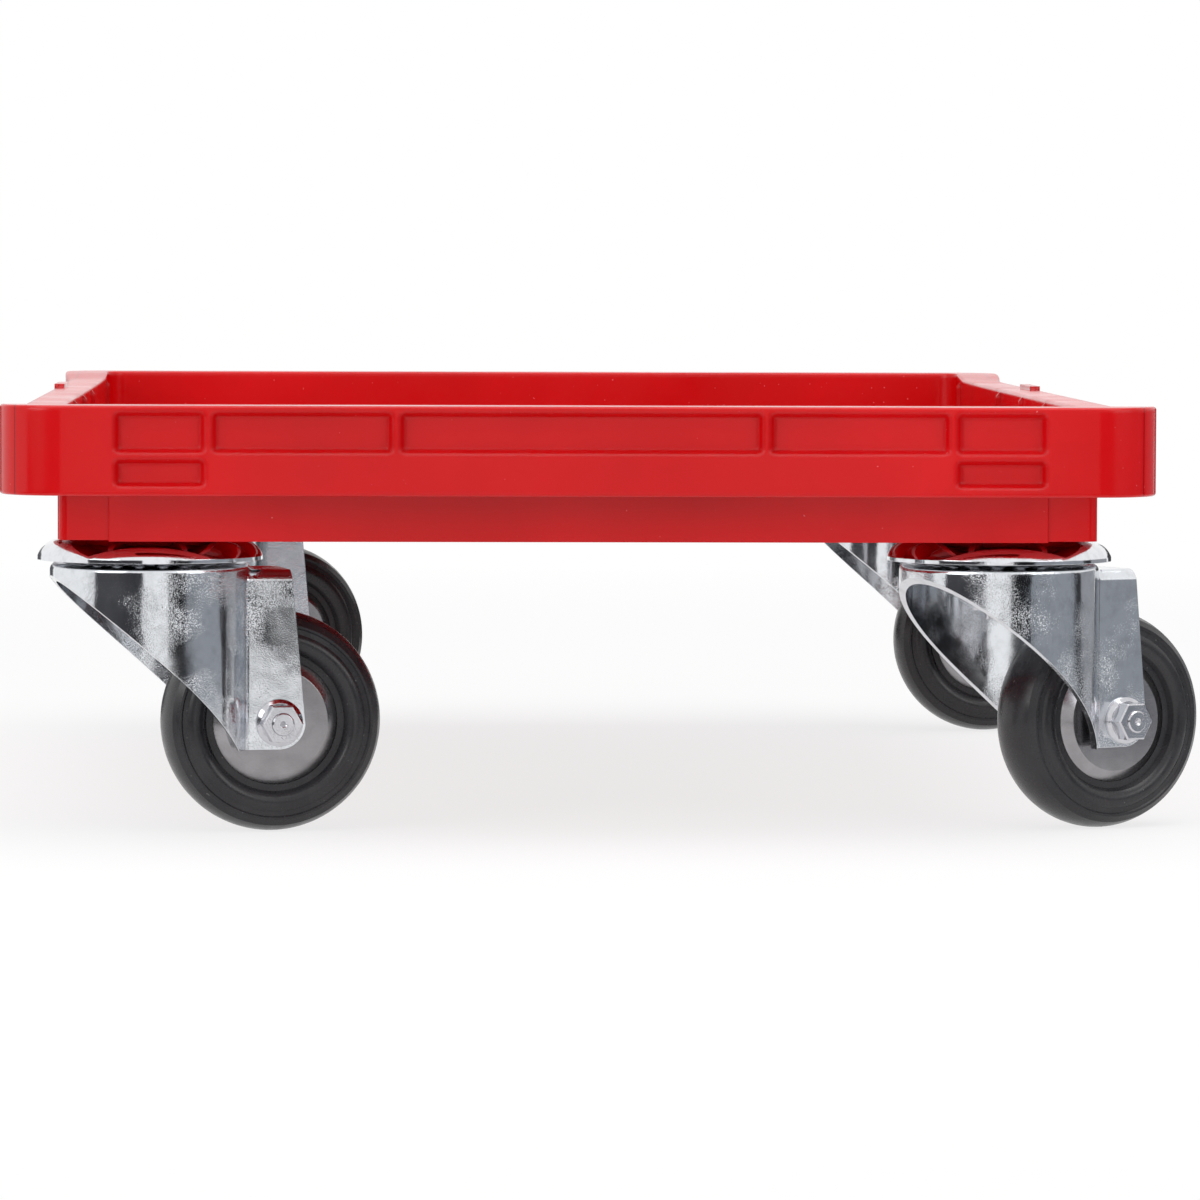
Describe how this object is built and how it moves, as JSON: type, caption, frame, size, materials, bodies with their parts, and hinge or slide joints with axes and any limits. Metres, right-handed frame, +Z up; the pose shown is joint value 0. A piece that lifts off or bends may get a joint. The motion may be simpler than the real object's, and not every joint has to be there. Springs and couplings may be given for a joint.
{
  "type": "transport dolly",
  "caption": "Low rimmed plastic dolly for stacking boxes, carried on swivel casters with rubber tyres.",
  "frame": {"origin": "centre of the load face, the flat floor inside the rim", "axes": "+X across the deck to the right, +Y along the deck away from the front end, +Z up, out of the load face"},
  "size_m": [0.4416, 0.61, 0.155],
  "materials": {
    "deck_plastic": "semi-gloss injection-moulded red plastic",
    "zinc_sheet": "bright zinc plated pressed sheet",
    "chrome_head": "bright plated, near mirror",
    "wheel_steel": "satin zinc plated disc",
    "fastener_steel": "bright zinc plated",
    "bearing_steel": "polished, oiled",
    "tyre_rubber": "dark grey moulded rubber, satin"
  },
  "bodies": {
    "deck": {"deck": "deck_plastic", "mount_bolts": "fastener_steel", "mount_washers": "fastener_steel", "mount_nuts": "fastener_steel", "head_front_left": "chrome_head", "king_rivet_front_left": "zinc_sheet", "lower_race_front_left": "zinc_sheet", "head_front_right": "chrome_head", "king_rivet_front_right": "zinc_sheet", "lower_race_front_right": "zinc_sheet", "head_back_left": "chrome_head", "king_rivet_back_left": "zinc_sheet", "lower_race_back_left": "zinc_sheet", "head_back_right": "chrome_head", "king_rivet_back_right": "zinc_sheet", "lower_race_back_right": "zinc_sheet"},
    "swivel_front_left": {"fork_front_left": "zinc_sheet", "upper_balls_front_left": "bearing_steel", "lower_balls_front_left": "bearing_steel", "axle_sleeve_front_left": "bearing_steel", "axle_bolt_front_left": "fastener_steel", "axle_nut_front_left": "fastener_steel"},
    "wheel_front_left": {"tyre_front_left": "tyre_rubber", "rim_discs_front_left": "wheel_steel", "hub_tube_front_left": "wheel_steel", "rollers_front_left": "bearing_steel"},
    "swivel_front_right": {"fork_front_right": "zinc_sheet", "upper_balls_front_right": "bearing_steel", "lower_balls_front_right": "bearing_steel", "axle_sleeve_front_right": "bearing_steel", "axle_bolt_front_right": "fastener_steel", "axle_nut_front_right": "fastener_steel"},
    "wheel_front_right": {"tyre_front_right": "tyre_rubber", "rim_discs_front_right": "wheel_steel", "hub_tube_front_right": "wheel_steel", "rollers_front_right": "bearing_steel"},
    "swivel_back_left": {"fork_back_left": "zinc_sheet", "upper_balls_back_left": "bearing_steel", "lower_balls_back_left": "bearing_steel", "axle_sleeve_back_left": "bearing_steel", "axle_bolt_back_left": "fastener_steel", "axle_nut_back_left": "fastener_steel"},
    "wheel_back_left": {"tyre_back_left": "tyre_rubber", "rim_discs_back_left": "wheel_steel", "hub_tube_back_left": "wheel_steel", "rollers_back_left": "bearing_steel"},
    "swivel_back_right": {"fork_back_right": "zinc_sheet", "upper_balls_back_right": "bearing_steel", "lower_balls_back_right": "bearing_steel", "axle_sleeve_back_right": "bearing_steel", "axle_bolt_back_right": "fastener_steel", "axle_nut_back_right": "fastener_steel"},
    "wheel_back_right": {"tyre_back_right": "tyre_rubber", "rim_discs_back_right": "wheel_steel", "hub_tube_back_right": "wheel_steel", "rollers_back_right": "bearing_steel"}
  },
  "joints": [
    {"name": "swivel_front_left", "type": "hinge", "parent": "deck", "child": "swivel_front_left", "pos_m": [-0.153, -0.247, -0.0322], "axis": [0, 0, 1], "continuous": true},
    {"name": "wheel_spin_front_left", "type": "hinge", "parent": "swivel_front_left", "child": "wheel_front_left", "pos_m": [-0.10987, -0.2383, -0.09], "axis": [-0.1977, 0.9803, 0], "continuous": true},
    {"name": "swivel_front_right", "type": "hinge", "parent": "deck", "child": "swivel_front_right", "pos_m": [0.153, -0.247, -0.0322], "axis": [0, 0, 1], "continuous": true},
    {"name": "wheel_spin_front_right", "type": "hinge", "parent": "swivel_front_right", "child": "wheel_front_right", "pos_m": [0.19152, -0.22574, -0.09], "axis": [-0.4833, 0.8755, 0], "continuous": true},
    {"name": "swivel_back_left", "type": "hinge", "parent": "deck", "child": "swivel_back_left", "pos_m": [-0.153, 0.247, -0.0322], "axis": [0, 0, 1], "continuous": true},
    {"name": "wheel_spin_back_left", "type": "hinge", "parent": "swivel_back_left", "child": "wheel_back_left", "pos_m": [-0.11309, 0.26553, -0.09], "axis": [-0.421, 0.907, 0], "continuous": true},
    {"name": "swivel_back_right", "type": "hinge", "parent": "deck", "child": "swivel_back_right", "pos_m": [0.153, 0.247, -0.0322], "axis": [0, 0, 1], "continuous": true},
    {"name": "wheel_spin_back_right", "type": "hinge", "parent": "swivel_back_right", "child": "wheel_back_right", "pos_m": [0.19676, 0.2516, -0.09], "axis": [-0.1045, 0.9945, 0], "continuous": true}
  ]
}
